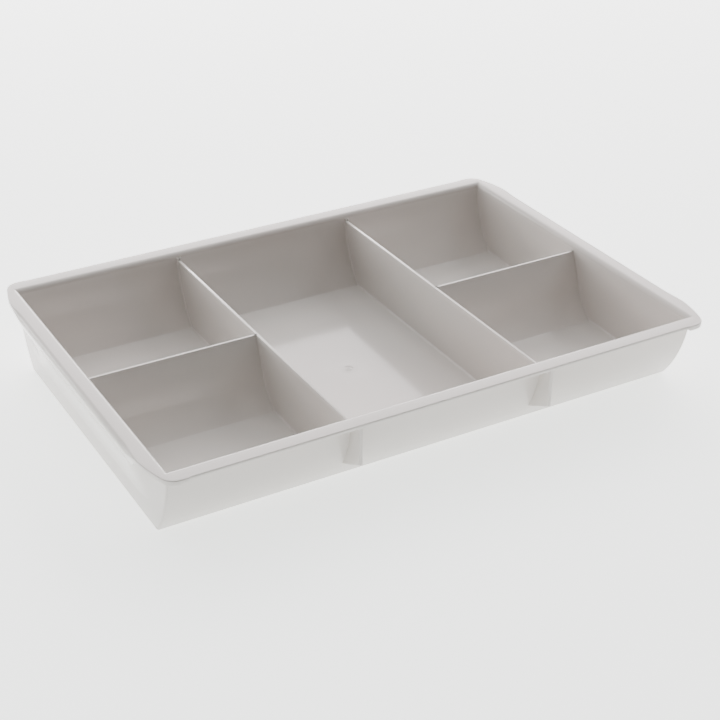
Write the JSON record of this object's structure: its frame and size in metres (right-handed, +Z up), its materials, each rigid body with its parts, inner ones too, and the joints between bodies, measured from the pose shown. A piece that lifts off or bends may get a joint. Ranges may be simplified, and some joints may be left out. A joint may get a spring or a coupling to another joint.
{
  "type": "drawer organizer insert",
  "caption": "Shallow moulded drawer tray: overhanging flat rim, scooped long walls, a long middle compartment and shorter ones beside it.",
  "frame": {"origin": "middle of the flat underside", "axes": "+X along the length, +Y from the front long wall to the back one, +Z up out of the compartments"},
  "size_m": [0.3416, 0.2366, 0.0455],
  "materials": {
    "tray_plastic": "satin with soft reflections, fine moulded grain"
  },
  "bodies": {
    "root": {"rim_front": "tray_plastic", "rim_back": "tray_plastic", "rim_left": "tray_plastic", "rim_right": "tray_plastic", "front_wall": "tray_plastic", "back_wall": "tray_plastic", "left_end_wall": "tray_plastic", "right_end_wall": "tray_plastic", "left_end_flare": "tray_plastic", "right_end_flare": "tray_plastic", "long_divider_left": "tray_plastic", "long_divider_right": "tray_plastic", "cross_divider_left": "tray_plastic", "cross_divider_right": "tray_plastic", "gusset_front_left": "tray_plastic", "gusset_front_right": "tray_plastic", "gusset_back_left": "tray_plastic", "gusset_back_right": "tray_plastic", "floor_left_front": "tray_plastic", "floor_right_back": "tray_plastic", "floor_left_back": "tray_plastic", "floor_right_front": "tray_plastic", "floor_middle": "tray_plastic", "gate_mark": "tray_plastic"}
  },
  "joints": []
}
